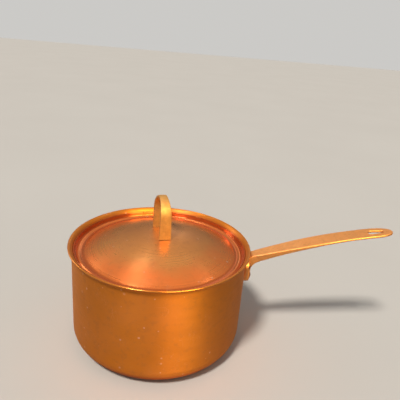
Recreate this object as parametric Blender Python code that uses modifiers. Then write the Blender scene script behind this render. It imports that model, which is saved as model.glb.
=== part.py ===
"""Copper saucepan with a cast brass handle and a domed lid that lifts off.

Metres, +Z up. The origin is the centre of the pan's flat base, and the long
handle points along +X.
"""

import math

import bmesh
import bpy
from mathutils import Matrix, Vector

MM = 0.001
GAP = 0.3 * MM  # kept between pieces that touch

# Pan
PAN_RADIUS = 101.5 * MM  # outside of the straight wall
PAN_HEIGHT = 123.4 * MM  # base to the top of the lip
BASE_CORNER = 21.5 * MM  # outside radius between base and wall
COPPER = 2.0 * MM
FLARE_RADIUS = 5.3 * MM  # the cove under the lip, on the outside
FLARE_ANGLE = 70.0  # degrees that the wall turns outwards
FLARE_START = PAN_HEIGHT - 6.92 * MM
PAN_LINING = 0.5 * MM
PAN_LINING_TOP = PAN_HEIGHT - 11.0 * MM

# Lid: heights are from the top of the pan's lip
LID_SHEET = 1.0 * MM
LID_LINING = 0.4 * MM
LID_EDGE = (98.6 * MM, -4.4 * MM, 2.2)  # radius, height, slope
LID_GUTTER = (96.9 * MM, -9.1 * MM, 0.0)
LID_BEAD = (94.0 * MM, -7.9 * MM, 0.0)
LID_GROOVE = (90.2 * MM, -9.2 * MM, 0.0)
LID_DOME_FOOT = (86.0 * MM, -8.2 * MM, -0.42)
LID_APEX = (0.0, 12.0 * MM, 0.0)

# Lid handle, an upright strap bent to an arch that is narrower at its top
STRAP_FOOT_HALF_WIDTH = 7.0 * MM
STRAP_SHOULDER_HALF_WIDTH = 6.4 * MM
STRAP_TOP_HALF_WIDTH = 4.6 * MM
STRAP_THICKNESS = 3.2 * MM
STRAP_CROWN = 0.9 * MM
STRAP_EDGE = 0.8 * MM
STRAP_OUTER_RADIUS = 19.5 * MM
STRAP_TOP = PAN_HEIGHT + 57.2 * MM
STRAP_HEADING = -75.0  # degrees from +X to the arch's span
STRAP_STEPS = 14
TENON_RADIUS = 1.5 * MM
TENON_BURIED = 3.0 * MM
PEEN_RADIUS = 3.2 * MM
PEEN_HEIGHT = 1.3 * MM
WASHER_RADIUS = 5.5 * MM
WASHER_THICKNESS = 1.0 * MM

# Long handle: heights are from the base, stations are (distance, value, slope)
HANDLE_TIP = 272.5 * MM
BLADE_TOP_START = (111.0 * MM, 114.5 * MM, 0.325)
BLADE_TOP_END = (HANDLE_TIP, 154.8 * MM, 0.12)
BLADE_UNDER_START = (120.0 * MM, 108.0 * MM, 0.48)
BLADE_UNDER_END = (HANDLE_TIP, 151.8 * MM, 0.12)
NECK_WIDTH = (106.0 * MM, 7.1 * MM, 0.08)  # half widths
WAIST_WIDTH = (185.0 * MM, 11.7 * MM, 0.0)
END_WIDTH = (244.0 * MM, 11.3 * MM, 0.0)
TIP_FULLNESS = 2.5  # exponent of the rounded end: 2 is an ellipse, more is blunter
BLADE_EDGE = 1.1 * MM
RIB_OUTSIDE = 108.5 * MM
RIB_HALF_WIDTH = 7.1 * MM
RIB_BOTTOM = 77.6 * MM
BEND_START_WALL = 103.0 * MM
BEND_START_OUTSIDE = 93.0 * MM
BEND_FULLNESS = 0.62  # of the way into the corner, as a Bezier's handles

# Flange and rivets
FLANGE_THICKNESS = 4.0 * MM
EAR_OFFSET = 13.0 * MM
EAR_HEIGHT = 104.5 * MM
EAR_RADIUS = 6.5 * MM
TONGUE_HEIGHT = 85.4 * MM
TONGUE_RADIUS = 8.0 * MM
RIVET_RADIUS = 2.5 * MM
RIVET_HEAD = (4.5 * MM, 1.9 * MM)  # radius, height
RIVET_INNER_HEAD = (5.0 * MM, 1.5 * MM)

# Hang hole, a slot that narrows towards the tip
HOLE_WIDE = (247.9 * MM, 4.2 * MM)  # centre, radius
HOLE_NARROW = (259.7 * MM, 2.5 * MM)

ROUND_STEPS = 60
SMALL_STEPS = 16
BLADE_STEPS = 14
TONGUE_TURNS = (8, 30, 60, 90)  # degrees round the rib's lower end
TIP_TURNS = (18, 36, 54, 68, 80, 87)  # degrees round the blade's far end
CUT_LENGTH = 20.0 * MM  # of a cutter through a wall, flange or blade
SHARP_ANGLE = 35.0  # degrees between faces that are shaded apart

COPPER_COLOUR = (0.83, 0.42, 0.19)
TIN_COLOUR = (0.62, 0.61, 0.58)
BRASS_COLOUR = (0.86, 0.62, 0.30)


# Outlines


def arc(centre, radius, start, end, count):
    """Points on a circle from start to end, in degrees, count steps apart."""
    turns = [math.radians(start + (end - start) * i / count) for i in range(count + 1)]
    return [
        (centre[0] + radius * math.cos(a), centre[1] + radius * math.sin(a))
        for a in turns
    ]


def hermite(x, start, end):
    """The smooth curve between two (place, value, slope) stations, at x."""
    span = end[0] - start[0]
    t = (x - start[0]) / span
    return (
        start[1] * (2 * t**3 - 3 * t**2 + 1)
        + start[2] * span * (t**3 - 2 * t**2 + t)
        + end[1] * (3 * t**2 - 2 * t**3)
        + end[2] * span * (t**3 - t**2)
    )


def spaced(start, end, count):
    return [start + (end - start) * i / count for i in range(count + 1)]


def offset(line, distance):
    """The line moved to its left by distance, with ends on the axis kept there."""
    moved = []
    for i, point in enumerate(line):
        before = Vector(line[max(i - 1, 0)])
        after = Vector(line[min(i + 1, len(line) - 1)])
        if 0 < i < len(line) - 1:
            along = (after - Vector(point)).normalized() + (Vector(point) - before).normalized()
        else:
            along = after - before
        along.normalize()
        left = Vector((-along.y, along.x))
        new = Vector(point) + left * distance
        moved.append((0.0 if point[0] == 0 else new.x, new.y))
    return moved


def round_end(first, second, count):
    """Half-circle points between two line ends, without the ends themselves."""
    centre = (Vector(first) + Vector(second)) / 2
    spoke = Vector(first) - centre
    points = []
    for i in range(1, count):
        turn = Matrix.Rotation(-math.pi * i / count, 2)
        points.append(tuple(centre + turn @ spoke))
    return points


def sheet_profile(upper, lower, edge_steps=4):
    """A turned sheet's section: out along its upper line, round its edge and back."""
    return upper + round_end(upper[-1], lower[-1], edge_steps) + lower[::-1]


# Blender objects


def clear_scene():
    for obj in list(bpy.data.objects):
        bpy.data.objects.remove(obj, do_unlink=True)


def new_collection(name, hidden=False):
    collection = bpy.data.collections.new(name)
    collection.hide_render = hidden
    bpy.context.scene.collection.children.link(collection)
    return collection


def metal(name, colour, roughness):
    material = bpy.data.materials.new(name)
    material.use_nodes = True
    shader = material.node_tree.nodes["Principled BSDF"]
    shader.inputs["Base Color"].default_value = (*colour, 1.0)
    shader.inputs["Metallic"].default_value = 1.0
    shader.inputs["Roughness"].default_value = roughness
    return material


def add_object(name, mesh, collection, material=None):
    obj = bpy.data.objects.new(name, mesh)
    collection.objects.link(obj)
    if material:
        mesh.materials.append(material)
        mesh.shade_smooth()
        mesh.set_sharp_from_angle(angle=math.radians(SHARP_ANGLE))
    return obj


def turned(name, profile, steps, collection, material=None, closed=False):
    """A profile of (radius, height) turned about Z with a Screw modifier."""
    mesh = bpy.data.meshes.new(name)
    count = len(profile)
    edges = [(i, i + 1) for i in range(count - 1)]
    if closed:
        edges.append((count - 1, 0))
    mesh.from_pydata([(r, 0.0, z) for r, z in profile], edges, [])
    obj = add_object(name, mesh, collection, material)
    screw = obj.modifiers.new("Turn", "SCREW")
    screw.axis = "Z"
    screw.angle = math.tau
    screw.steps = steps
    screw.render_steps = steps
    screw.use_merge_vertices = True
    screw.merge_threshold = 0.00001
    screw.use_smooth_shade = True
    return obj


def plate(name, outline, thickness, matrix, collection):
    """A flat outline made solid: a filled 2D curve with an extrusion, as a mesh."""
    curve = bpy.data.curves.new(name + "_outline", "CURVE")
    curve.dimensions = "2D"
    curve.fill_mode = "BOTH"
    curve.extrude = thickness / 2
    spline = curve.splines.new("POLY")
    spline.points.add(len(outline) - 1)
    for point, (x, y) in zip(spline.points, outline):
        point.co = (x, y, 0.0, 1.0)
    spline.use_cyclic_u = True
    guide = bpy.data.objects.new(name + "_outline", curve)
    collection.objects.link(guide)
    guide.matrix_world = matrix
    bpy.context.view_layer.update()
    evaluated = guide.evaluated_get(bpy.context.evaluated_depsgraph_get())
    mesh = bpy.data.meshes.new_from_object(evaluated)
    mesh.name = name
    welded = bmesh.new()
    welded.from_mesh(mesh)
    bmesh.ops.remove_doubles(welded, verts=welded.verts, dist=0.00001)
    bmesh.ops.recalc_face_normals(welded, faces=welded.faces)
    welded.to_mesh(mesh)
    welded.free()
    obj = add_object(name, mesh, collection)
    obj.matrix_world = guide.matrix_world
    bpy.data.objects.remove(guide, do_unlink=True)
    return obj


def pin(name, radius, length, matrix, collection):
    """A round bar centred on the matrix, along its Z."""
    mesh = bpy.data.meshes.new(name)
    shape = bmesh.new()
    bmesh.ops.create_cone(
        shape,
        cap_ends=True,
        segments=SMALL_STEPS,
        radius1=radius,
        radius2=radius,
        depth=length,
    )
    shape.to_mesh(mesh)
    shape.free()
    obj = add_object(name, mesh, collection)
    obj.matrix_world = matrix
    return obj


def boolean(obj, operation, other):
    modifier = obj.modifiers.new(other.name, "BOOLEAN")
    modifier.operation = operation
    modifier.object = other


def as_cutter(obj):
    obj.hide_render = True
    obj.display_type = "WIRE"
    return obj


# Pan


def pan_outside():
    """The copper's outside, from the centre of the base to the lip."""
    corner = (PAN_RADIUS - BASE_CORNER, BASE_CORNER)
    flare = (PAN_RADIUS + FLARE_RADIUS, FLARE_START)
    return (
        [(0.0, 0.0), (PAN_RADIUS / 2, 0.0)]
        + arc(corner, BASE_CORNER, -90, 0, 6)
        + arc(flare, FLARE_RADIUS, 180, 180 - FLARE_ANGLE, 4)
    )


def lining_line():
    """The copper's outside again, cut off where the lining ends."""
    below = [point for point in pan_outside() if point[1] < PAN_LINING_TOP]
    return below + [(PAN_RADIUS, PAN_LINING_TOP)]


def radial(height, angle, distance):
    """A frame at this distance from the axis whose Z points outwards."""
    turn = Matrix.Rotation(angle, 4, "Z")
    lean = Matrix.Rotation(math.pi / 2, 4, "Y")
    return turn @ Matrix.Translation((distance, 0.0, height)) @ lean


def rivet_places():
    """(height, angle round the pan, outside of what the rivet holds) for each."""
    ear_angle = EAR_OFFSET / PAN_RADIUS
    flange_outside = PAN_RADIUS + GAP + FLANGE_THICKNESS
    return [
        (EAR_HEIGHT, ear_angle, flange_outside),
        (EAR_HEIGHT, -ear_angle, flange_outside),
        (TONGUE_HEIGHT, 0.0, RIB_OUTSIDE),
    ]


def make_pan(parts, cutters, copper, tin):
    outside = pan_outside()
    body = turned(
        "pan_body",
        sheet_profile(offset(outside, COPPER), outside),
        ROUND_STEPS,
        parts,
        copper,
    )
    line = lining_line()
    lining = turned(
        "pan_lining",
        sheet_profile(
            offset(line, COPPER + GAP + PAN_LINING), offset(line, COPPER + GAP), 2
        ),
        ROUND_STEPS,
        parts,
        tin,
    )
    for number, (height, angle, _) in enumerate(rivet_places(), 1):
        hole = pin(
            f"wall_hole_{number}",
            RIVET_RADIUS + GAP,
            CUT_LENGTH,
            radial(height, angle, PAN_RADIUS),
            cutters,
        )
        as_cutter(hole)
        boolean(body, "DIFFERENCE", hole)
        boolean(lining, "DIFFERENCE", hole)
    return [body, lining]


# Long handle


def blade_half_width(x):
    if x < WAIST_WIDTH[0]:
        return hermite(x, NECK_WIDTH, WAIST_WIDTH)
    return hermite(x, WAIST_WIDTH, END_WIDTH)


def handle_stations():
    """(wall or top point, outside or under point, half width) from tongue to tip."""
    wall = PAN_RADIUS + GAP
    stations = []
    for turn in TONGUE_TURNS:
        height = RIB_BOTTOM + RIB_HALF_WIDTH * (1 - math.cos(math.radians(turn)))
        half = RIB_HALF_WIDTH * math.sin(math.radians(turn))
        stations.append(((wall, height), (RIB_OUTSIDE, height), half))
    bend_top = quarter_turn((wall, BEND_START_WALL), BLADE_TOP_START)
    bend_under = quarter_turn((RIB_OUTSIDE, BEND_START_OUTSIDE), BLADE_UNDER_START)
    stations += [(a, b, RIB_HALF_WIDTH) for a, b in zip(bend_top, bend_under)]
    for share in spaced(0.0, 1.0, BLADE_STEPS)[1:]:
        top_x = BLADE_TOP_START[0] + share * (END_WIDTH[0] - BLADE_TOP_START[0])
        under_x = BLADE_UNDER_START[0] + share * (END_WIDTH[0] - BLADE_UNDER_START[0])
        stations.append(blade_station(top_x, under_x, blade_half_width(top_x)))
    for turn in TIP_TURNS:
        reach = math.sin(math.radians(turn))
        x = END_WIDTH[0] + reach * (HANDLE_TIP - END_WIDTH[0])
        half = END_WIDTH[1] * (1 - reach**TIP_FULLNESS) ** (1 / TIP_FULLNESS)
        stations.append(blade_station(x, x, half))
    return stations


def blade_station(top_x, under_x, half_width):
    top = (top_x, hermite(top_x, BLADE_TOP_START, BLADE_TOP_END))
    under = (under_x, hermite(under_x, BLADE_UNDER_START, BLADE_UNDER_END))
    return top, under, half_width


def quarter_turn(start, end, count=7):
    """From straight up at start to a station's slope at its end, as a Bezier."""
    first = Vector(start)
    last = Vector(end[:2])
    slope = Vector((1.0, end[2])).normalized()
    up = Vector((0.0, 1.0)) * (last.y - first.y) * BEND_FULLNESS
    back = slope * (last.x - first.x) * BEND_FULLNESS
    points = []
    for t in spaced(0.0, 1.0, count):
        points.append(
            tuple(
                first * (1 - t) ** 3
                + (first + up) * 3 * t * (1 - t) ** 2
                + (last - back) * 3 * t**2 * (1 - t)
                + last * t**3
            )
        )
    return points


def section(first, second, half_width, edge_radius, crown=0.0):
    """A rounded rectangle between two points of a bar's side view.

    The first point's side bulges by crown beyond the rounded corners.
    """
    thickness = (Vector(second) - Vector(first)).length
    edge = min(edge_radius, 0.45 * (thickness - crown), 0.9 * half_width)
    across = (Vector(first) - Vector(second)).normalized()
    shoulder = Vector(first) - across * (crown + edge)
    base = Vector(second) + across * edge
    corners = [
        arc((half_width - edge, 0.0), edge, 0, 90, 2),
        arc((edge - half_width, 0.0), edge, 90, 180, 2),
        arc((edge - half_width, 0.0), edge, 180, 270, 2),
        arc((half_width - edge, 0.0), edge, 270, 360, 2),
    ]
    outline = [(y, shoulder + across * up) for y, up in corners[0]]
    outline.append((0.0, Vector(first)))
    outline += [(y, shoulder + across * up) for y, up in corners[1]]
    outline += [(y, base + across * up) for y, up in corners[2]]
    outline += [(y, base + across * up) for y, up in corners[3]]
    return [Vector((place.x, y, place.y)) for y, place in outline]


def loft(name, rings, collection, material):
    """A closed solid through rings of equal size, flat at both ends."""
    mesh = bpy.data.meshes.new(name)
    shape = bmesh.new()
    rows = [[shape.verts.new(point) for point in ring] for ring in rings]
    size = len(rows[0])
    for row, following in zip(rows, rows[1:]):
        for i in range(size):
            j = (i + 1) % size
            shape.faces.new((row[i], row[j], following[j], following[i]))
    shape.faces.new(rows[0])
    shape.faces.new(rows[-1])
    bmesh.ops.recalc_face_normals(shape, faces=shape.faces)
    shape.to_mesh(mesh)
    shape.free()
    return add_object(name, mesh, collection, material)


def flange_outline():
    """Two ears and a tongue, each round its rivet, joined by straight sides."""
    ear = Vector((EAR_OFFSET, EAR_HEIGHT))
    tongue = Vector((0.0, TONGUE_HEIGHT))
    run = tongue - ear
    lean = math.degrees(math.atan2(run.y, run.x))
    spread = math.degrees(math.acos((EAR_RADIUS - TONGUE_RADIUS) / run.length))
    side = lean + spread
    right = arc(ear, EAR_RADIUS, 90, side, 6)
    bottom = arc(tongue, TONGUE_RADIUS, side, -180 - side, 8)
    left = [(-y, z) for y, z in right[::-1]]
    return right + bottom + left


def hole_outline():
    """Two round ends of unlike size joined by straight sides."""
    run = HOLE_NARROW[0] - HOLE_WIDE[0]
    side = math.degrees(math.acos((HOLE_WIDE[1] - HOLE_NARROW[1]) / run))
    tip = arc((HOLE_NARROW[0], 0.0), HOLE_NARROW[1], side, -side, 8)
    root = arc((HOLE_WIDE[0], 0.0), HOLE_WIDE[1], -side, side - 360, 14)
    return tip + root


def make_flange(cutters):
    """The flange's outline, cut from a tube that follows the wall."""
    inside = PAN_RADIUS + GAP
    outside = inside + FLANGE_THICKNESS
    outline = flange_outline()
    upright = Matrix(((0, 0, 1, inside), (1, 0, 0, 0), (0, 1, 0, 0), (0, 0, 0, 1)))
    flange = plate("flange", outline, CUT_LENGTH, upright, cutters)
    ring = [(inside, PAN_HEIGHT), (outside, PAN_HEIGHT), (outside, 0.0), (inside, 0.0)]
    tube = turned("flange_tube", ring, 2 * ROUND_STEPS, cutters, closed=True)
    boolean(flange, "INTERSECT", as_cutter(tube))
    return as_cutter(flange)


def make_handle(parts, cutters, brass):
    rings = [section(*station, BLADE_EDGE) for station in handle_stations()]
    handle = loft("pan_handle", rings, parts, brass)
    boolean(handle, "UNION", make_flange(cutters))
    for number, (height, angle, outside) in enumerate(rivet_places(), 1):
        hole = pin(
            f"flange_hole_{number}",
            RIVET_RADIUS + GAP,
            CUT_LENGTH,
            radial(height, angle, outside),
            cutters,
        )
        boolean(handle, "DIFFERENCE", as_cutter(hole))
    level = Matrix.Translation((0.0, 0.0, BLADE_TOP_END[1]))
    slot = plate("hang_hole", hole_outline(), 2 * CUT_LENGTH, level, cutters)
    boolean(handle, "DIFFERENCE", as_cutter(slot))
    return handle


def head_profile(radius, base, height):
    """A dome from its crown on the axis out to its rim, rising from base."""
    turns = spaced(0.0, math.pi / 2, 3)
    rim = [(radius * math.sin(a), base + height * math.cos(a)) for a in turns[1:]]
    return [(0.0, base + height)] + rim


def rivet_profile(grip_top, grip_bottom):
    """Low outer dome, shank and flatter inner dome, about the rivet's own axis."""
    radius, height = RIVET_HEAD
    inner_radius, inner_height = RIVET_INNER_HEAD
    outer = head_profile(radius, grip_top, height)
    inner = head_profile(inner_radius, grip_bottom, -inner_height)[::-1]
    shank = [(RIVET_RADIUS, grip_top), (RIVET_RADIUS, grip_bottom)]
    return outer + shank + inner


def make_rivets(parts, copper):
    inside = PAN_RADIUS - COPPER - GAP - PAN_LINING - GAP
    rivets = []
    for number, (height, angle, outside) in enumerate(rivet_places(), 1):
        profile = rivet_profile(outside + GAP - inside, 0.0)
        rivet = turned(f"handle_rivet_{number}", profile, SMALL_STEPS, parts, copper)
        rivet.matrix_world = radial(height, angle, inside)
        rivets.append(rivet)
    return rivets


# Lid


def lid_top():
    """The lid's upper line from its centre out to its edge."""
    legs = [
        (LID_APEX, LID_DOME_FOOT, 6),
        (LID_DOME_FOOT, LID_GROOVE, 2),
        (LID_GROOVE, LID_BEAD, 2),
        (LID_BEAD, LID_GUTTER, 2),
        (LID_GUTTER, LID_EDGE, 2),
    ]
    line = [(0.0, PAN_HEIGHT + LID_APEX[1])]
    for start, end, count in legs:
        for r in spaced(start[0], end[0], count)[1:]:
            line.append((r, PAN_HEIGHT + hermite(r, start, end)))
    return line


def dome_height(radius):
    return PAN_HEIGHT + hermite(radius, LID_APEX, LID_DOME_FOOT)


def strap_matrix(across=0.0, height=0.0):
    """A frame in the arch: X along its span, Z up, moved along its span."""
    turn = Matrix.Rotation(math.radians(STRAP_HEADING), 4, "Z")
    return turn @ Matrix.Translation((across, 0.0, height))


def leg_offset():
    return STRAP_OUTER_RADIUS - STRAP_THICKNESS / 2


def make_lid(parts, cutters, copper, tin):
    top = lid_top()
    shell = turned(
        "lid_shell",
        sheet_profile(top, offset(top, -LID_SHEET)),
        ROUND_STEPS,
        parts,
        copper,
    )
    dome = [point for point in top if point[0] <= LID_DOME_FOOT[0]]
    upper = offset(dome, -LID_SHEET - GAP)
    lower = offset(dome, -LID_SHEET - GAP - LID_LINING)
    profile = sheet_profile(upper, lower, 2)
    lining = turned("lid_lining", profile, ROUND_STEPS, parts, tin)
    for number, side in enumerate((-1, 1), 1):
        place = strap_matrix(side * leg_offset(), PAN_HEIGHT)
        radius = TENON_RADIUS + GAP
        hole = pin(f"tenon_hole_{number}", radius, 3 * CUT_LENGTH, place, cutters)
        as_cutter(hole)
        boolean(shell, "DIFFERENCE", hole)
        boolean(lining, "DIFFERENCE", hole)
    return [shell, lining]


def under_lid():
    """Height of the lining's underside at the tenons, at its lowest."""
    far_side = leg_offset() + WASHER_RADIUS
    return dome_height(far_side) - LID_SHEET - GAP - LID_LINING


def strap_stations(foot):
    """(outer point, inner point, half width) from one foot over to the other."""
    inner_radius = STRAP_OUTER_RADIUS - STRAP_THICKNESS
    centre = (0.0, STRAP_TOP - STRAP_OUTER_RADIUS)
    outer = arc(centre, STRAP_OUTER_RADIUS, 0, 180, STRAP_STEPS)
    inner = arc(centre, inner_radius, 0, 180, STRAP_STEPS)
    stations = []
    for i, (far, near) in enumerate(zip(outer, inner)):
        rise = math.sin(math.pi * i / STRAP_STEPS) ** 2
        half = (1 - rise) * STRAP_SHOULDER_HALF_WIDTH + rise * STRAP_TOP_HALF_WIDTH
        stations.append((far, near, half))
    first = ((STRAP_OUTER_RADIUS, foot), (inner_radius, foot), STRAP_FOOT_HALF_WIDTH)
    last = ((-STRAP_OUTER_RADIUS, foot), (-inner_radius, foot), STRAP_FOOT_HALF_WIDTH)
    return [first] + stations + [last]


def make_lid_handle(parts, cutters, brass):
    foot = dome_height(STRAP_OUTER_RADIUS - STRAP_THICKNESS) + GAP
    rings = [section(*s, STRAP_EDGE, STRAP_CROWN) for s in strap_stations(foot)]
    arch = loft("lid_handle", rings, parts, brass)
    arch.matrix_world = strap_matrix()
    peen_top = under_lid() - GAP - WASHER_THICKNESS - GAP
    pieces = [arch]
    for number, side in enumerate((-1, 1), 1):
        place = strap_matrix(side * leg_offset())
        tenon = turned(f"tenon_{number}", tenon_profile(foot, peen_top), SMALL_STEPS, cutters)
        tenon.matrix_world = place
        boolean(arch, "UNION", as_cutter(tenon))
        washer_top = under_lid() - GAP
        washer = turned(
            f"lid_washer_{number}",
            washer_profile(washer_top),
            SMALL_STEPS,
            parts,
            brass,
            closed=True,
        )
        washer.matrix_world = place
        pieces.append(washer)
    return pieces


def tenon_profile(foot, peen_top):
    """A round tenon from inside the strap's leg down to its peened head."""
    top = foot + TENON_BURIED
    shank = [(0.0, top), (TENON_RADIUS, top), (TENON_RADIUS, peen_top)]
    return shank + head_profile(PEEN_RADIUS, peen_top, -PEEN_HEIGHT)[::-1]


def washer_profile(top):
    bottom = top - WASHER_THICKNESS
    hole = TENON_RADIUS + GAP
    return [(hole, top), (WASHER_RADIUS, top), (WASHER_RADIUS, bottom), (hole, bottom)]


def gather(name, pieces, collection):
    """An empty on the pan's axis that carries the pieces of one body."""
    empty = bpy.data.objects.new(name, None)
    collection.objects.link(empty)
    for piece in pieces:
        piece.parent = empty


def main():
    clear_scene()
    parts = new_collection("copper_saucepan")
    cutters = new_collection("cutters", hidden=True)
    copper = metal("copper", COPPER_COLOUR, 0.28)
    tin = metal("tin", TIN_COLOUR, 0.35)
    brass = metal("brass", BRASS_COLOUR, 0.30)
    pan = make_pan(parts, cutters, copper, tin)
    pan.append(make_handle(parts, cutters, brass))
    pan += make_rivets(parts, copper)
    lid = make_lid(parts, cutters, copper, tin)
    lid += make_lid_handle(parts, cutters, brass)
    gather("pan", pan, parts)
    gather("lid", lid, parts)


main()
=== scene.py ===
import math
from types import SimpleNamespace

import bmesh
import bpy
from mathutils import Matrix, Vector


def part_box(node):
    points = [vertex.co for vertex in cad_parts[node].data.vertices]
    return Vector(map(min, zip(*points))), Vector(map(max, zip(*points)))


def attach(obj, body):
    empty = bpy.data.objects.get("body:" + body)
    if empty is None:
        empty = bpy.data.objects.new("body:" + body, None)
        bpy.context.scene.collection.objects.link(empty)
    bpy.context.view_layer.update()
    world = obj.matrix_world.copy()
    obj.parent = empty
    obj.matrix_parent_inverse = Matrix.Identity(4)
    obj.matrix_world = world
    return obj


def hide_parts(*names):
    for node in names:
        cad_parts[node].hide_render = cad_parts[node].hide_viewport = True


# Copper saucepan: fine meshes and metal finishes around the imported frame.
# Metres, +Z up, the pan's axis on Z, its long handle along +X.

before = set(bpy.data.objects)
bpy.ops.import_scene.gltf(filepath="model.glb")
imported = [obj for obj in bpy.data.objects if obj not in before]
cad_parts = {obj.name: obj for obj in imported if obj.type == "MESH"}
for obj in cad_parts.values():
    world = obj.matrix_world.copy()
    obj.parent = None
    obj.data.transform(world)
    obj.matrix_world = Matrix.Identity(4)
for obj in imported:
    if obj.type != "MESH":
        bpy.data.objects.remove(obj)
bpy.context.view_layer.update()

MM = 0.001
GAP = 0.3 * MM

# Driving dimensions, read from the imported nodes
PAN_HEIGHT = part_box("pan_body")[1].z
HANDLE_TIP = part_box("pan_handle")[1].x
STRAP_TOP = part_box("lid_handle")[1].z
LID_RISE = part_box("lid_shell")[1].z - PAN_HEIGHT

# Pan
PAN_RADIUS = 101.5 * MM
BASE_CORNER = 21.5 * MM
COPPER = 2.0 * MM
FLARE_RADIUS = 5.3 * MM
FLARE_ANGLE = 70.0  # degrees
FLARE_START = PAN_HEIGHT - 6.92 * MM
PAN_LINING = 0.5 * MM
PAN_LINING_TOP = PAN_HEIGHT - 11.0 * MM

# Lid: (radius, height from the top of the pan's lip, slope)
LID_SHEET = 1.0 * MM
LID_LINING = 0.4 * MM
LID_EDGE = (98.6 * MM, -4.4 * MM, 2.2)
LID_GUTTER = (96.9 * MM, -9.1 * MM, 0.0)
LID_BEAD = (94.0 * MM, -7.9 * MM, 0.0)
LID_GROOVE = (90.2 * MM, -9.2 * MM, 0.0)
LID_DOME_FOOT = (86.0 * MM, -8.2 * MM, -0.42)
LID_APEX = (0.0, LID_RISE, 0.0)

# Lid handle
STRAP_FOOT_HALF_WIDTH = 7.0 * MM
STRAP_SHOULDER_HALF_WIDTH = 6.4 * MM
STRAP_TOP_HALF_WIDTH = 4.6 * MM
STRAP_THICKNESS = 3.2 * MM
STRAP_CROWN = 0.35 * MM
STRAP_EDGE = 0.7 * MM
STRAP_OUTER_RADIUS = 19.5 * MM
STRAP_HEADING = -75.0  # degrees from +X
TENON_RADIUS = 1.5 * MM
TENON_BURIED = 3.0 * MM
PEEN_RADIUS = 3.2 * MM
PEEN_HEIGHT = 1.3 * MM
WASHER_RADIUS = 5.5 * MM
WASHER_THICKNESS = 1.0 * MM

# Long handle: stations are (distance, value, slope)
BLADE_TOP_START = (111.0 * MM, 114.5 * MM, 0.325)
BLADE_TOP_END = (HANDLE_TIP, 154.8 * MM, 0.12)
BLADE_UNDER_START = (120.0 * MM, 108.0 * MM, 0.48)
BLADE_UNDER_END = (HANDLE_TIP, 151.8 * MM, 0.12)
NECK_WIDTH = (106.0 * MM, 7.1 * MM, 0.08)
WAIST_WIDTH = (185.0 * MM, 11.7 * MM, 0.0)
END_WIDTH = (244.0 * MM, 11.3 * MM, 0.0)
TIP_FULLNESS = 2.5  # exponent of the rounded end: 2 is an ellipse, more is blunter
BLADE_EDGE = 1.1 * MM
RIB_OUTSIDE = 108.5 * MM
RIB_HALF_WIDTH = 7.1 * MM
RIB_BOTTOM = 77.6 * MM
BEND_START_WALL = 103.0 * MM
BEND_START_OUTSIDE = 93.0 * MM
BEND_FULLNESS = 0.62  # share of the bend's rise and run that its curve's handles reach

# Flange, rivets and hang hole: heads are (radius, height), holes are (distance, radius)
FLANGE_THICKNESS = 4.0 * MM
EAR_OFFSET = 13.0 * MM
EAR_HEIGHT = 104.5 * MM
EAR_RADIUS = 6.5 * MM
TONGUE_HEIGHT = 85.4 * MM
TONGUE_RADIUS = 8.0 * MM
RIVET_RADIUS = 2.5 * MM
RIVET_HEAD = (4.5 * MM, 1.9 * MM)
RIVET_INNER_HEAD = (5.0 * MM, 1.5 * MM)
HOLE_WIDE = (247.9 * MM, 4.2 * MM)
HOLE_NARROW = (259.7 * MM, 2.5 * MM)

# Meshes
ROUND_STEPS = 256
SMALL_STEPS = 48
CUT_LENGTH = 20.0 * MM  # of a drill
CAST_VOXEL = 0.45 * MM
CAST_SOFTENING = 6  # passes of smoothing
SHARP_ANGLE = 40.0  # degrees
EDGE_OF_THICKNESS = 0.45  # the most of a bar's thickness that a rounded edge takes
EDGE_OF_WIDTH = 0.9  # the most of its half width that a rounded edge takes
TONGUE_TURN = 8.0  # degrees round the tongue's end where the handle's first section is
TIP_TURN = 88.0  # degrees round the blade's tip where its last section is
MERGE = 0.002 * MM  # points nearer than this become one

# Colours, in linear light
COPPER_BRIGHT = (0.78, 0.25, 0.018)
COPPER_DULL = (0.54, 0.175, 0.050)
COPPER_WALL = (0.72, 0.23, 0.023)
# stain on the copper, also used as the painted shade in its creases
COPPER_STAIN_AND_SHADE = (0.36, 0.12, 0.045)
# painted shade for the lid's gutter and groove
COPPER_HOLLOW_SHADE = (0.50, 0.10, 0.018)
COPPER_WORN = (0.92, 0.44, 0.22)
COPPER_SPOT = (0.92, 0.55, 0.36)
LID_BRIGHT = (0.72, 0.295, 0.08)
LID_DULL = (0.58, 0.225, 0.068)
LID_RIM = (0.80, 0.17, 0.030)
BRASS_BRIGHT = (0.92, 0.42, 0.145)
BRASS_DULL = (0.80, 0.35, 0.12)
# stain on the brass, also used as the painted shade in its creases
BRASS_STAIN_AND_SHADE = (0.36, 0.17, 0.05)
BRASS_WORN = (0.92, 0.66, 0.26)
STRAP_BRIGHT = (0.68, 0.39, 0.13)
STRAP_DULL = (0.54, 0.29, 0.09)
TIN_BRIGHT = (0.66, 0.65, 0.62)
TIN_DULL = (0.52, 0.51, 0.49)
TIN_STAIN = (0.30, 0.29, 0.28)

# Finishes: the radii over which each comes in
RIM_TONE = (55.0 * MM, 84.0 * MM)
POLISHED_RIM = (LID_DOME_FOOT[0] - 3.0 * MM, LID_DOME_FOOT[0] + 2.0 * MM)
POLISHED_LIP = (PAN_RADIUS + 0.3 * MM, PAN_RADIUS + 2.3 * MM)
# The gutter and the groove, darkened with painted shade: (middle, half width)
SHADED_HOLLOWS = ((LID_GUTTER[0] + 0.6 * MM, 3.2 * MM), (LID_GROOVE[0] - 0.8 * MM, 2.6 * MM))
# The noise values over which bright patches turn dull, and the share of bare metal on each
COPPER_PATCHES = (0.35, 0.68)
COPPER_BARE = (0.76, 0.66)
BRASS_PATCHES = (0.35, 0.65)
BRASS_BARE = (0.84, 0.76)
SPOT_EDGE = 0.04  # softness of a spot's edge, as a share of its cell

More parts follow.
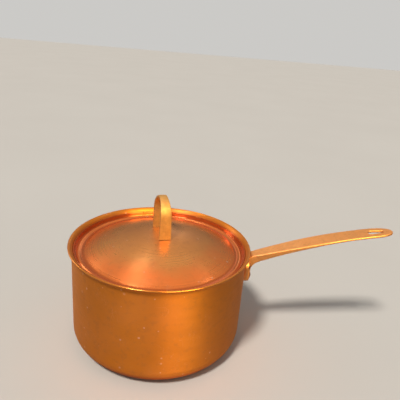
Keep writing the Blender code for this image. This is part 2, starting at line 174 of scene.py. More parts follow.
# Grain: noise scales along each axis, in waves per metre
FINE_HOOPS = (9.0, 9.0, 1500.0)
BROAD_HOOPS = (5.0, 5.0, 260.0)
WIPE_HOOPS = (12.0, 12.0, 90.0)
ALONG_HANDLE = (30.0, 900.0, 900.0)
ALONG_STRAP = (700.0, 700.0, 60.0)

# Camera
CAMERA_PLACE = (0.0143, -0.4550, 0.3539)
CAMERA_TURN = (68.8646, -4.5532, -1.6789)  # degrees
CAMERA_LENS = 38.7

# Floor and room
FLOOR_HALF_SIZE = 8.0
FLOOR_LIGHT = (0.56, 0.545, 0.52)
FLOOR_DARK = (0.52, 0.505, 0.48)
FLOOR_REFLECTED = (0.24, 0.215, 0.19)
ROOM_FILL = (0.34, 0.335, 0.33)
ROOM_LOW = (0.10, 0.095, 0.09)
ROOM_HIGH = (0.78, 0.72, 0.60)
BACKDROP = (0.60, 0.59, 0.57)

# Lights: bearings are (azimuth, elevation) in degrees
KEY_BEARING = (-124.0, 58.0)
KEY_COLOUR = (1.0, 0.93, 0.84)
KEY_SHEEN = (1.0, 0.86, 0.86)
KEY_STRENGTH = 3.0
KEY_SPREAD = 9.0  # degrees
WARM = (1.0, 0.80, 0.28)
RED_WARM = (1.0, 0.68, 0.25)
SOFTBOXES = (
    # name, bearing, distance, (width, height), watts, colour
    ("key_panel", KEY_BEARING, 1.4, (0.25, 0.25), 11.0, KEY_SHEEN),
    ("front_right", (-48.0, 38.0), 1.3, (0.35, 0.8), 12.0, WARM),
    ("front_middle", (-70.0, 38.0), 1.3, (0.35, 0.8), 12.0, RED_WARM),
    ("back", (86.0, 30.0), 1.8, (0.5, 0.5), 0.5, KEY_COLOUR),
    ("ceiling_lamp", (129.0, 69.0), 1.6, (0.10, 0.10), 1.0, KEY_COLOUR),
    ("side_lamp", (36.0, 57.0), 1.6, (0.10, 0.10), 0.25, KEY_COLOUR),
    ("back_left", (150.0, 28.0), 1.4, (0.25, 0.8), 3.0, KEY_COLOUR),
)


# Outlines


def arc(centre, radius, start, end, count):
    turns = [math.radians(start + (end - start) * i / count) for i in range(count + 1)]
    return [(centre[0] + radius * math.cos(a), centre[1] + radius * math.sin(a)) for a in turns]


def hermite(x, start, end):
    """The smooth curve between two (place, value, slope) stations, at x."""
    span = end[0] - start[0]
    t = (x - start[0]) / span
    return (
        start[1] * (2 * t**3 - 3 * t**2 + 1)
        + start[2] * span * (t**3 - 2 * t**2 + t)
        + end[1] * (3 * t**2 - 2 * t**3)
        + end[2] * span * (t**3 - t**2)
    )


def spaced(start, end, count):
    return [start + (end - start) * i / count for i in range(count + 1)]


def offset(line, distance):
    """The line moved to its left by distance, with ends on the axis kept there."""
    moved = []
    for i, point in enumerate(line):
        before = Vector(line[max(i - 1, 0)])
        after = Vector(line[min(i + 1, len(line) - 1)])
        if 0 < i < len(line) - 1:
            along = (after - Vector(point)).normalized() + (Vector(point) - before).normalized()
        else:
            along = after - before
        along.normalize()
        left = Vector((-along.y, along.x))
        new = Vector(point) + left * distance
        moved.append((0.0 if point[0] == 0 else new.x, new.y))
    return moved


def round_end(first, second, count):
    """Half-circle points between two line ends, without the ends themselves."""
    centre = (Vector(first) + Vector(second)) / 2
    spoke = Vector(first) - centre
    points = []
    for i in range(1, count):
        turn = Matrix.Rotation(-math.pi * i / count, 2)
        points.append(tuple(centre + turn @ spoke))
    return points


def sheet_profile(upper, lower, edge_steps=8):
    """A turned sheet's section: out along its upper line, round its edge and back."""
    return upper + round_end(upper[-1], lower[-1], edge_steps) + lower[::-1]


# Mesh building


def add_object(name, data):
    obj = bpy.data.objects.new(name, data)
    bpy.context.scene.collection.objects.link(obj)
    return obj


def shade(mesh):
    """Smooth shading, with sharp edges where two faces meet steeply."""
    mesh.shade_smooth()
    mesh.set_sharp_from_angle(angle=math.radians(SHARP_ANGLE))


def finish_shape(name, shape, material):
    """The bmesh as an object of this name."""
    mesh = bpy.data.meshes.new(name)
    shape.to_mesh(mesh)
    shape.free()
    if material:
        mesh.materials.append(material)
    shade(mesh)
    return add_object(name, mesh)


def turned(name, profile, steps, material, closed=False, matrix=None):
    """A profile of (radius, height) spun about Z into a closed solid."""
    shape = bmesh.new()
    points = [shape.verts.new((r, 0.0, z)) for r, z in profile]
    edges = [shape.edges.new(pair) for pair in zip(points, points[1:])]
    if closed:
        edges.append(shape.edges.new((points[-1], points[0])))
    bmesh.ops.spin(
        shape,
        geom=points + edges,
        axis=(0.0, 0.0, 1.0),
        cent=(0.0, 0.0, 0.0),
        angle=math.tau,
        steps=steps,
        use_merge=True,
        use_duplicate=False,
    )
    bmesh.ops.remove_doubles(shape, verts=shape.verts, dist=MERGE)
    bmesh.ops.recalc_face_normals(shape, faces=shape.faces)
    if matrix is not None:
        shape.transform(matrix)
    return finish_shape(name, shape, material)


def plate(name, outline, thickness, matrix):
    """A flat outline made solid, centred on the matrix's XY plane."""
    shape = bmesh.new()
    base = [shape.verts.new((x, y, -thickness / 2)) for x, y in outline]
    face = shape.faces.new(base)
    raised = bmesh.ops.extrude_face_region(shape, geom=[face])["geom"]
    tops = [v for v in raised if isinstance(v, bmesh.types.BMVert)]
    bmesh.ops.translate(shape, verts=tops, vec=(0.0, 0.0, thickness))
    bmesh.ops.recalc_face_normals(shape, faces=shape.faces)
    shape.transform(matrix)
    return finish_shape(name, shape, None)


def loft(name, rings, material):
    """A closed solid through rings of equal size, flat at both ends."""
    shape = bmesh.new()
    rows = [[shape.verts.new(point) for point in ring] for ring in rings]
    size = len(rows[0])
    for row, following in zip(rows, rows[1:]):
        for i in range(size):
            j = (i + 1) % size
            shape.faces.new((row[i], row[j], following[j], following[i]))
    shape.faces.new(rows[0])
    shape.faces.new(rows[-1])
    bmesh.ops.recalc_face_normals(shape, faces=shape.faces)
    return finish_shape(name, shape, material)


def boolean(obj, operation, other):
    """Combines other into obj at once, and removes other."""
    modifier = obj.modifiers.new(other.name, "BOOLEAN")
    modifier.operation = operation
    modifier.object = other
    apply_modifiers(obj)
    bpy.data.objects.remove(other, do_unlink=True)


def drill(obj, radius, length, matrix):
    """A round hole through obj, along the matrix's Z and centred on it."""
    half = length / 2
    profile = [(0.0, half), (radius, half), (radius, -half), (0.0, -half)]
    boolean(obj, "DIFFERENCE", turned("drill", profile, SMALL_STEPS, None, matrix=matrix))


def apply_modifiers(obj):
    bpy.context.view_layer.update()
    evaluated = obj.evaluated_get(bpy.context.evaluated_depsgraph_get())
    mesh = bpy.data.meshes.new_from_object(evaluated)
    mesh.name = obj.name
    obj.modifiers.clear()
    obj.data = mesh


def cast(obj):
    """One even skin over joined shapes, softened as a casting's edges are."""
    remesh = obj.modifiers.new("Skin", "REMESH")
    remesh.mode = "VOXEL"
    remesh.voxel_size = CAST_VOXEL
    apply_modifiers(obj)
    smooth = obj.modifiers.new("Soften", "SMOOTH")
    smooth.factor = 0.5
    smooth.iterations = CAST_SOFTENING
    apply_modifiers(obj)
    obj.data.shade_smooth()


# Pan


def pan_outside():
    """The copper's outside, from the centre of the base to the lip."""
    corner = (PAN_RADIUS - BASE_CORNER, BASE_CORNER)
    flare = (PAN_RADIUS + FLARE_RADIUS, FLARE_START)
    base = [(r, 0.0) for r in spaced(0.0, corner[0], 16)[:-1]]
    wall = [(PAN_RADIUS, z) for z in spaced(corner[1], flare[1], 24)[1:-1]]
    return (
        base
        + arc(corner, BASE_CORNER, -90, 0, 24)
        + wall
        + arc(flare, FLARE_RADIUS, 180, 180 - FLARE_ANGLE, 14)
    )


def lining_line():
    """The copper's outside again, cut off where the lining ends."""
    below = [point for point in pan_outside() if point[1] < PAN_LINING_TOP]
    return below + [(PAN_RADIUS, PAN_LINING_TOP)]


def radial(height, angle, distance):
    """A frame at this distance from the axis whose Z points outwards."""
    turn = Matrix.Rotation(angle, 4, "Z")
    lean = Matrix.Rotation(math.pi / 2, 4, "Y")
    return turn @ Matrix.Translation((distance, 0.0, height)) @ lean


def rivet_places():
    """(height, angle round the pan, outside of what the rivet holds) for each."""
    ear_angle = EAR_OFFSET / PAN_RADIUS
    flange_outside = PAN_RADIUS + GAP + FLANGE_THICKNESS
    return [
        (EAR_HEIGHT, ear_angle, flange_outside),
        (EAR_HEIGHT, -ear_angle, flange_outside),
        (TONGUE_HEIGHT, 0.0, RIB_OUTSIDE),
    ]


def make_pan(copper, tin):
    outside = pan_outside()
    profile = sheet_profile(offset(outside, COPPER), outside)
    body = turned("copper_pan", profile, ROUND_STEPS, copper)
    line = lining_line()
    profile = sheet_profile(offset(line, COPPER + GAP + PAN_LINING), offset(line, COPPER + GAP), 4)
    lining = turned("tinned_inside", profile, ROUND_STEPS, tin)
    for obj in (body, lining):
        for height, angle, _ in rivet_places():
            drill(obj, RIVET_RADIUS + GAP, CUT_LENGTH, radial(height, angle, PAN_RADIUS))
        shade(obj.data)
    return body, lining


# Long handle


def blade_half_width(x):
    if x < WAIST_WIDTH[0]:
        return hermite(x, NECK_WIDTH, WAIST_WIDTH)
    return hermite(x, WAIST_WIDTH, END_WIDTH)


def blade_station(top_x, under_x, half_width):
    top = (top_x, hermite(top_x, BLADE_TOP_START, BLADE_TOP_END))
    under = (under_x, hermite(under_x, BLADE_UNDER_START, BLADE_UNDER_END))
    return top, under, half_width


def handle_stations():
    """(wall or top point, outside or under point, half width) from tongue to tip."""
    wall = PAN_RADIUS + GAP
    stations = []
    for turn in spaced(TONGUE_TURN, 90.0, 8):
        height = RIB_BOTTOM + RIB_HALF_WIDTH * (1 - math.cos(math.radians(turn)))
        half = RIB_HALF_WIDTH * math.sin(math.radians(turn))
        stations.append(((wall, height), (RIB_OUTSIDE, height), half))
    bend_top = quarter_turn((wall, BEND_START_WALL), BLADE_TOP_START)
    bend_under = quarter_turn((RIB_OUTSIDE, BEND_START_OUTSIDE), BLADE_UNDER_START)
    stations += [(a, b, RIB_HALF_WIDTH) for a, b in zip(bend_top, bend_under)]
    for share in spaced(0.0, 1.0, 40)[1:]:
        top_x = BLADE_TOP_START[0] + share * (END_WIDTH[0] - BLADE_TOP_START[0])
        under_x = BLADE_UNDER_START[0] + share * (END_WIDTH[0] - BLADE_UNDER_START[0])
        stations.append(blade_station(top_x, under_x, blade_half_width(top_x)))
    for turn in spaced(0.0, TIP_TURN, 18)[1:]:
        reach = math.sin(math.radians(turn))
        x = END_WIDTH[0] + reach * (HANDLE_TIP - END_WIDTH[0])
        half = END_WIDTH[1] * (1 - reach**TIP_FULLNESS) ** (1 / TIP_FULLNESS)
        stations.append(blade_station(x, x, half))
    return stations


def quarter_turn(start, end):
    """From straight up at start to a station's slope at its end, as a Bezier."""
    first = Vector(start)
    last = Vector(end[:2])
    up = Vector((0.0, 1.0)) * (last.y - first.y) * BEND_FULLNESS
    back = Vector((1.0, end[2])).normalized() * (last.x - first.x) * BEND_FULLNESS
    points = []
    for t in spaced(0.0, 1.0, 20):
        point = first * (1 - t) ** 3 + (first + up) * 3 * t * (1 - t) ** 2
        point += (last - back) * 3 * t**2 * (1 - t) + last * t**3
        points.append(tuple(point))
    return points


def section(first, second, half_width, edge_radius, crown=0.0):
    """A rounded rectangle between two points of a bar's side view.

    The first point's side bulges by crown beyond the rounded corners.
    """
    thickness = (Vector(second) - Vector(first)).length
    edge = min(edge_radius, EDGE_OF_THICKNESS * (thickness - crown), EDGE_OF_WIDTH * half_width)
    across = (Vector(first) - Vector(second)).normalized()
    shoulder = Vector(first) - across * (crown + edge)
    base = Vector(second) + across * edge
    flat = half_width - edge
    outline = [(y, shoulder + across * up) for y, up in arc((flat, 0.0), edge, 0, 90, 4)]
    for share in spaced(1.0, -1.0, 8)[1:-1]:
        outline.append((flat * share, Vector(first) - across * crown * share**2))
    outline += [(y, shoulder + across * up) for y, up in arc((-flat, 0.0), edge, 90, 180, 4)]
    outline += [(y, base + across * up) for y, up in arc((-flat, 0.0), edge, 180, 270, 4)]
    outline += [(y, base + across * up) for y, up in arc((flat, 0.0), edge, 270, 360, 4)]
    return [Vector((place.x, y, place.y)) for y, place in outline]


def flange_outline():
    """Two ears and a tongue, each round its rivet, joined by straight sides."""
    ear = Vector((EAR_OFFSET, EAR_HEIGHT))
    tongue = Vector((0.0, TONGUE_HEIGHT))
    run = tongue - ear
    lean = math.degrees(math.atan2(run.y, run.x))
    spread = math.degrees(math.acos((EAR_RADIUS - TONGUE_RADIUS) / run.length))
    side = lean + spread
    right = arc(ear, EAR_RADIUS, 90, side, 16)
    bottom = arc(tongue, TONGUE_RADIUS, side, -180 - side, 24)
    left = [(-y, z) for y, z in right[::-1]]
    return right + bottom + left


def hole_outline():
    """Two round ends of unlike size joined by straight sides."""
    run = HOLE_NARROW[0] - HOLE_WIDE[0]
    side = math.degrees(math.acos((HOLE_WIDE[1] - HOLE_NARROW[1]) / run))
    tip = arc((HOLE_NARROW[0], 0.0), HOLE_NARROW[1], side, -side, 24)
    root = arc((HOLE_WIDE[0], 0.0), HOLE_WIDE[1], -side, side - 360, 40)
    return tip + root


def make_flange():
    """The flange's outline, cut from a tube that follows the wall."""
    inside = PAN_RADIUS + GAP
    outside = inside + FLANGE_THICKNESS
    upright = Matrix(((0, 0, 1, inside), (1, 0, 0, 0), (0, 1, 0, 0), (0, 0, 0, 1)))
    flange = plate("flange", flange_outline(), CUT_LENGTH, upright)
    ring = [(inside, PAN_HEIGHT), (outside, PAN_HEIGHT), (outside, 0.0), (inside, 0.0)]
    boolean(flange, "INTERSECT", turned("tube", ring, ROUND_STEPS, None, closed=True))
    return flange


def make_handle(brass):
    rings = [section(*station, BLADE_EDGE) for station in handle_stations()]
    handle = loft("brass_handle", rings, brass)
    boolean(handle, "UNION", make_flange())
    for height, angle, outside in rivet_places():
        drill(handle, RIVET_RADIUS + GAP, CUT_LENGTH, radial(height, angle, outside))
    level = Matrix.Translation((0.0, 0.0, BLADE_TOP_END[1]))
    boolean(handle, "DIFFERENCE", plate("slot", hole_outline(), 2 * CUT_LENGTH, level))
    cast(handle)
    return handle


def head_profile(radius, base, height):
    """A dome from its crown on the axis out to its rim, rising from base."""
    turns = spaced(0.0, math.pi / 2, 10)
    rim = [(radius * math.sin(a), base + height * math.cos(a)) for a in turns[1:]]
    return [(0.0, base + height)] + rim


def make_rivets(copper):
    inside = PAN_RADIUS - COPPER - GAP - PAN_LINING - GAP
    rivets = []
    for number, (height, angle, outside) in enumerate(rivet_places(), 1):
        grip = outside + GAP - inside
        outer = head_profile(RIVET_HEAD[0], grip, RIVET_HEAD[1])
        inner = head_profile(RIVET_INNER_HEAD[0], 0.0, -RIVET_INNER_HEAD[1])[::-1]
        profile = outer + [(RIVET_RADIUS, grip), (RIVET_RADIUS, 0.0)] + inner
        place = radial(height, angle, inside)
        rivets.append(turned(f"copper_rivet_{number}", profile, SMALL_STEPS, copper, matrix=place))
    return rivets


# Lid


def lid_top():
    """The lid's upper line from its centre out to its edge."""
    legs = [
        (LID_APEX, LID_DOME_FOOT, 40),
        (LID_DOME_FOOT, LID_GROOVE, 8),
        (LID_GROOVE, LID_BEAD, 10),
        (LID_BEAD, LID_GUTTER, 8),
        (LID_GUTTER, LID_EDGE, 10),
    ]
    line = [(0.0, PAN_HEIGHT + LID_APEX[1])]
    for start, end, count in legs:
        for r in spaced(start[0], end[0], count)[1:]:
            line.append((r, PAN_HEIGHT + hermite(r, start, end)))
    return line


def dome_height(radius):
    return PAN_HEIGHT + hermite(radius, LID_APEX, LID_DOME_FOOT)


def strap_matrix(across=0.0, height=0.0):
    """A frame in the arch: X along its span, Z up, moved along its span."""
    turn = Matrix.Rotation(math.radians(STRAP_HEADING), 4, "Z")
    return turn @ Matrix.Translation((across, 0.0, height))


def leg_offset():
    return STRAP_OUTER_RADIUS - STRAP_THICKNESS / 2


def make_lid(copper, tin):
    top = lid_top()
    shell = turned("copper_lid", sheet_profile(top, offset(top, -LID_SHEET)), ROUND_STEPS, copper)
    dome = [point for point in top if point[0] <= LID_DOME_FOOT[0]]
    upper = offset(dome, -LID_SHEET - GAP)
    lower = offset(dome, -LID_SHEET - GAP - LID_LINING)
    lining = turned("tinned_lid_inside", sheet_profile(upper, lower, 4), ROUND_STEPS, tin)
    for obj in (shell, lining):
        for side in (-1, 1):
            place = strap_matrix(side * leg_offset(), PAN_HEIGHT)
            drill(obj, TENON_RADIUS + GAP, 3 * CUT_LENGTH, place)
        shade(obj.data)
    return shell, lining


def under_lid():
    """Height of the lining's underside at the tenons, at its lowest."""
    return dome_height(leg_offset() + WASHER_RADIUS) - LID_SHEET - GAP - LID_LINING


def strap_stations(foot):
    """(outer point, inner point, half width) from one foot over to the other."""
    inner_radius = STRAP_OUTER_RADIUS - STRAP_THICKNESS
    centre = (0.0, STRAP_TOP - STRAP_OUTER_RADIUS)
    steps = 48
    outer = arc(centre, STRAP_OUTER_RADIUS, 0, 180, steps)
    inner = arc(centre, inner_radius, 0, 180, steps)
    stations = []
    for i, (far, near) in enumerate(zip(outer, inner)):
        rise = math.sin(math.pi * i / steps) ** 2
        half = (1 - rise) * STRAP_SHOULDER_HALF_WIDTH + rise * STRAP_TOP_HALF_WIDTH
        stations.append((far, near, half))
    leg = []
    for share in spaced(0.0, 1.0, 12)[:-1]:
        z = foot + share * (centre[1] - foot)
        half = (1 - share) * STRAP_FOOT_HALF_WIDTH + share * STRAP_SHOULDER_HALF_WIDTH
        leg.append(((STRAP_OUTER_RADIUS, z), (inner_radius, z), half))
    other = [((-far[0], far[1]), (-near[0], near[1]), half) for far, near, half in leg[::-1]]
    return leg + stations + other


def make_strap(brass):
    foot = dome_height(STRAP_OUTER_RADIUS - STRAP_THICKNESS) + GAP
    rings = [section(*s, STRAP_EDGE, STRAP_CROWN) for s in strap_stations(foot)]
    arch = loft("brass_strap", rings, brass)
    arch.data.transform(strap_matrix())
    peen_top = under_lid() - GAP - WASHER_THICKNESS - GAP
    top = foot + TENON_BURIED
    shank = [(0.0, top), (TENON_RADIUS, top), (TENON_RADIUS, peen_top)]
    profile = shank + head_profile(PEEN_RADIUS, peen_top, -PEEN_HEIGHT)[::-1]
    washers = []
    for number, side in enumerate((-1, 1), 1):
        place = strap_matrix(side * leg_offset())
        boolean(arch, "UNION", turned("tenon", profile, SMALL_STEPS, None, matrix=place))
        high = under_lid() - GAP
        low = high - WASHER_THICKNESS
        hole = TENON_RADIUS + GAP
        ring = [(hole, high), (WASHER_RADIUS, high), (WASHER_RADIUS, low), (hole, low)]
        name = f"brass_washer_{number}"
        washers.append(turned(name, ring, SMALL_STEPS, brass, closed=True, matrix=place))
    shade(arch.data)
    return arch, washers


# Materials


def node(tree, kind, links=None, **settings):
    """A new shader node with its inputs set to values or joined to sockets."""
    made = tree.nodes.new("ShaderNode" + kind)
    for key, value in settings.items():
        setattr(made, key, value)
    for key, value in (links or {}).items():
        if isinstance(value, bpy.types.NodeSocket):
            tree.links.new(value, made.inputs[key])
        else:
            made.inputs[key].default_value = value
    return made


def maths(tree, operation, first, second=0.0):
    return node(tree, "Math", {0: first, 1: second}, operation=operation).outputs[0]


def remap(tree, value, low, high, new_low, new_high):
    """The value's range from low to high stretched to the new one, and held there beyond it."""
    bounds = {"From Min": low, "From Max": high, "To Min": new_low, "To Max": new_high}
    return node(tree, "MapRange", {"Value": value, **bounds}, clamp=True).outputs["Result"]


def mix_colour(tree, factor, first, second):
    made = node(tree, "Mix", {"Factor": factor}, data_type="RGBA")
    for socket, value in ((6, first), (7, second)):
        if isinstance(value, bpy.types.NodeSocket):
            tree.links.new(value, made.inputs[socket])
        else:
            made.inputs[socket].default_value = (*value, 1.0)
    return made.outputs[2]


def layered(tree, tone, layers):
    """The tone with colours laid over it, each where its pattern runs from low to high."""
    for pattern, low, high, share, colour in layers:
        tone = mix_colour(tree, remap(tree, pattern, low, high, 0.0, share), tone, colour)
    return tone


def adjusted(tree, value, changes):
    """The value plus what each pattern adds as it runs from low to high."""
    for change in changes:
        value = maths(tree, "ADD", value, remap(tree, *change))
    return value


def noise(tree, vector, scale, detail=3.0, roughness=0.5):
    links = {"Vector": vector, "Scale": scale, "Detail": detail, "Roughness": roughness}
    return node(tree, "TexNoise", links).outputs["Fac"]


def stretched(tree, position, scale):
    """The position scaled apart along each axis, for grain that runs one way."""
    return node(tree, "Mapping", {"Vector": position, "Scale": scale}).outputs[0]


def radius_from_z(tree, position):
    flatten = {0: position, 1: (1.0, 1.0, 0.0)}
    level = node(tree, "VectorMath", flatten, operation="MULTIPLY").outputs[0]
    return node(tree, "VectorMath", {0: level}, operation="LENGTH").outputs["Value"]


def hoop_position(tree, position, radius):
    """A position that changes slowly round Z and quickly along the profile."""
    parts = node(tree, "SeparateXYZ", {0: position}).outputs
    run = maths(tree, "ADD", radius, parts[2])
    return node(tree, "CombineXYZ", {0: parts[0], 1: parts[1], 2: run}).outputs[0]


def hairlines(tree, position, turn, scale, width):
    """Sparse thin lines, each a few centimetres long: 1 on a line, 0 off it."""
    turned_to = node(tree, "Mapping", {"Vector": position, "Rotation": turn, "Scale": scale})
    field = noise(tree, turned_to.outputs[0], 1.0, 2.0)
    off_line = maths(tree, "ABSOLUTE", maths(tree, "SUBTRACT", field, 0.5))
    return remap(tree, off_line, 0.0, width, 1.0, 0.0)


def spots(tree, position, scale, share, size):
    """Round spots in a share of the cells: 1 inside a spot, 0 outside."""
    links = {"Vector": position, "Scale": scale, "Randomness": 1.0}
    cells = node(tree, "TexVoronoi", links, feature="F1")
    chosen = node(tree, "SeparateColor", {0: cells.outputs["Color"]}).outputs
    present = maths(tree, "LESS_THAN", chosen[0], share)
    reach = maths(tree, "MULTIPLY", chosen[1], size)
    depth = maths(tree, "SUBTRACT", reach, cells.outputs["Distance"])
    return maths(tree, "MULTIPLY", remap(tree, depth, 0.0, SPOT_EDGE, 0.0, 1.0), present)


def bump(tree, height, strength, distance, below=None):
    links = {"Height": height, "Strength": strength, "Distance": distance}
    if below is not None:
        links["Normal"] = below
    return node(tree, "Bump", links).outputs[0]


def groove_round_z(tree, position):
    """The direction of hoop grooves, square to both Z and the radius."""
    parts = node(tree, "SeparateXYZ", {0: position}).outputs
    back = maths(tree, "MULTIPLY", parts[1], -1.0)
    return node(tree, "CombineXYZ", {0: back, 1: parts[0]}).outputs[0]


def brush_along(tree, shader, direction, amount):
    """Grooves in this direction: a highlight spreads across them, not along them."""
    settings = {"vector_type": "VECTOR", "convert_from": "OBJECT", "convert_to": "WORLD"}
    tangent = node(tree, "VectorTransform", {0: direction}, **settings)
    tree.links.new(tangent.outputs[0], shader.inputs["Tangent"])
    shader.inputs["Anisotropic"].default_value = amount
    shader.inputs["Anisotropic Rotation"].default_value = 0.25  # a quarter turn


def new_shader(name):
    material = bpy.data.materials.new(name)
    material.use_nodes = True
    tree = material.node_tree
    position = node(tree, "TexCoord").outputs["Object"]
    return material, tree, tree.nodes["Principled BSDF"], position


def feed(tree, shader, sockets):
    for name, socket in sockets.items():
        tree.links.new(socket, shader.inputs[name])


def copper_patterns(tree, position):
    """What copper's colour, gloss and relief all follow. Scales are in cells per metre."""
    radius = radius_from_z(tree, position)
    hoops = hoop_position(tree, position, radius)
    line_a = hairlines(tree, position, (0.4, 0.9, 0.3), (16.0, 300.0, 60.0), 0.006)
    line_b = hairlines(tree, position, (1.1, 0.2, 1.3), (280.0, 20.0, 70.0), 0.005)
    kept = remap(tree, noise(tree, position, 28.0, 1.0), 0.5, 0.6, 0.0, 0.6)
    return SimpleNamespace(
        radius=radius,
        fine=noise(tree, stretched(tree, hoops, FINE_HOOPS), 1.0, 4.0, 0.6),
        broad=noise(tree, stretched(tree, hoops, BROAD_HOOPS), 1.0, 2.0),
        patches=noise(tree, position, 17.0, 5.0, 0.6),
        mottle=noise(tree, position, 140.0, 4.0, 0.65),
        waves=noise(tree, position, 11.0, 2.0),
        # pointiness: lighter wear on convex edges, painted shade in concave creases
        wear_and_crease_shade=node(tree, "NewGeometry").outputs["Pointiness"],
        drops=spots(tree, position, 62.0, 0.20, 0.13),
        specks=spots(tree, position, 210.0, 0.09, 0.30),
        lines=maths(tree, "MULTIPLY", maths(tree, "MAXIMUM", line_a, line_b), kept),
    )


def copper_tone(tree, on, bright, dull, rim_tone):
    ragged = maths(tree, "ADD", on.radius, remap(tree, on.patches, 0.3, 0.7, -0.015, 0.015))
    layers = [
        # pattern, low, high, the most it covers, colour
        (on.patches, *COPPER_PATCHES, 1.0, dull),
        (on.broad, 0.35, 0.65, 0.12, dull),
        (ragged, *RIM_TONE, 0.7, rim_tone),
        (on.mottle, 0.52, 0.75, 0.28, COPPER_STAIN_AND_SHADE),
        (on.wear_and_crease_shade, 0.52, 0.60, 0.35, COPPER_WORN),
        # painted shade, partly grime: darker where the surface curves inwards
        (on.wear_and_crease_shade, 0.49, 0.45, 0.7, COPPER_STAIN_AND_SHADE),
    ]
    # painted shade along the gutter and the groove
    for middle, half in SHADED_HOLLOWS:
        away = maths(tree, "ABSOLUTE", maths(tree, "SUBTRACT", on.radius, middle))
        layers.append((away, half, half / 2, 0.75, COPPER_HOLLOW_SHADE))
    layers += [
        (on.drops, 0.0, 1.0, 0.22, COPPER_SPOT),
        (on.specks, 0.0, 1.0, 0.5, COPPER_SPOT),
        (on.lines, 0.0, 1.0, 0.5, COPPER_WORN),
    ]
    return layered(tree, bright, layers)


def copper_gloss(tree, on, roughness, spread):
    changes = (
        # pattern, low, high, roughness added at low, and at high
        (on.patches, 0.4, 0.7, -0.03, 0.06),
        (on.drops, 0.0, 1.0, 0.0, 0.12),
        (on.lines, 0.0, 1.0, 0.0, -0.08),
        (on.radius, *POLISHED_RIM, 0.0, -0.10),
        (on.radius, *POLISHED_LIP, 0.0, -0.16),
    )
    along_grain = remap(tree, on.fine, 0.35, 0.65, roughness - spread, roughness + spread)
    return adjusted(tree, along_grain, changes)


def copper_relief(tree, on):
    waves = bump(tree, on.waves, 0.35, 0.6 * MM)
    grain = bump(tree, on.fine, 0.05, 0.04 * MM, waves)
    return bump(tree, maths(tree, "SUBTRACT", on.specks, on.lines), 0.25, 0.06 * MM, grain)


def copper_metal(name, bright, dull, rim_tone, roughness, spread, anisotropy):
    """Satin spun copper: hoop grain, patchy tone, hairlines, dried water spots, worn edges, and
    painted shade in its hollows and creases.
    """
    material, tree, shader, position = new_shader(name)
    on = copper_patterns(tree, position)
    sockets = {
        "Base Color": copper_tone(tree, on, bright, dull, rim_tone),
        "Metallic": remap(tree, on.patches, *COPPER_PATCHES, *COPPER_BARE),
        "Roughness": copper_gloss(tree, on, roughness, spread),
        "Normal": copper_relief(tree, on),
    }
    feed(tree, shader, sockets)
    brush_along(tree, shader, groove_round_z(tree, position), anisotropy)
    return material


def brass_metal(name, bright, dull, grain_scale, roughness, groove=None, anisotropy=0.0):
    """Sanded cast brass: grain along the piece, fine pits, bright worn edges, and painted shade in
    its creases.
    """
    material, tree, shader, position = new_shader(name)
    grain = noise(tree, stretched(tree, position, grain_scale), 1.0, 4.0, 0.6)
    patches = noise(tree, position, 70.0, 4.0, 0.6)
    lumps = noise(tree, position, 260.0, 3.0)
    pits = spots(tree, position, 900.0, 0.10, 0.35)
    wear_and_crease_shade = node(tree, "NewGeometry").outputs["Pointiness"]
    layers = (
        # pattern, low, high, the most it covers, colour
        (patches, *BRASS_PATCHES, 1.0, dull),
        (lumps, 0.5, 0.75, 0.3, BRASS_STAIN_AND_SHADE),
        (wear_and_crease_shade, 0.54, 0.62, 0.5, BRASS_WORN),
        # painted shade, partly grime: darker where the surface curves inwards
        (wear_and_crease_shade, 0.48, 0.42, 0.7, BRASS_STAIN_AND_SHADE),
        (pits, 0.0, 1.0, 0.6, BRASS_STAIN_AND_SHADE),
    )
    gloss = remap(tree, grain, 0.3, 0.7, roughness - 0.06, roughness + 0.08)
    forged = bump(tree, lumps, 0.5, 0.12 * MM)
    sanded = bump(tree, grain, 0.3, 0.04 * MM, forged)
    sockets = {
        "Base Color": layered(tree, bright, layers),
        "Metallic": remap(tree, patches, *BRASS_PATCHES, *BRASS_BARE),
        "Roughness": adjusted(tree, gloss, [(patches, 0.4, 0.7, -0.04, 0.06)]),
        "Normal": bump(tree, maths(tree, "MULTIPLY", pits, -1.0), 0.5, 0.08 * MM, sanded),
    }
    feed(tree, shader, sockets)
    if groove:
        brush_along(tree, shader, groove, anisotropy)
    return material


def tin_metal(name):
    """Wiped tin: soft grey with broad wipe marks and small dull freckles."""
    material, tree, shader, position = new_shader(name)
    hoops = hoop_position(tree, position, radius_from_z(tree, position))
    wipes = noise(tree, stretched(tree, hoops, WIPE_HOOPS), 1.0, 3.0)
    patches = noise(tree, position, 30.0, 4.0, 0.6)
    freckles = spots(tree, position, 160.0, 0.2, 0.3)
    layers = ((patches, 0.35, 0.65, 1.0, TIN_DULL), (freckles, 0.0, 1.0, 0.35, TIN_STAIN))
    swept = bump(tree, wipes, 0.3, 0.15 * MM)
    sockets = {
        "Base Color": layered(tree, TIN_BRIGHT, layers),
        "Roughness": remap(tree, wipes, 0.3, 0.7, 0.28, 0.46),
        "Normal": bump(tree, freckles, 0.2, 0.04 * MM, swept),
    }
    feed(tree, shader, sockets)
    shader.inputs["Metallic"].default_value = 1.0
    return material


# Stage


def around(azimuth, elevation, distance=1.0):
    """A point at this bearing and distance from the origin, in degrees from +X and up."""
    turn, rise = math.radians(azimuth), math.radians(elevation)
    level = distance * math.cos(rise)
    return Vector((level * math.cos(turn), level * math.sin(turn), distance * math.sin(rise)))


def add_light(name, kind, place, target, strength, colour):
    light = bpy.data.lights.new(name, kind)
    light.energy = strength
    light.color = colour
    obj = add_object(name, light)
    obj.location = place
    obj.rotation_euler = (target - place).to_track_quat("-Z", "Y").to_euler()
    return obj


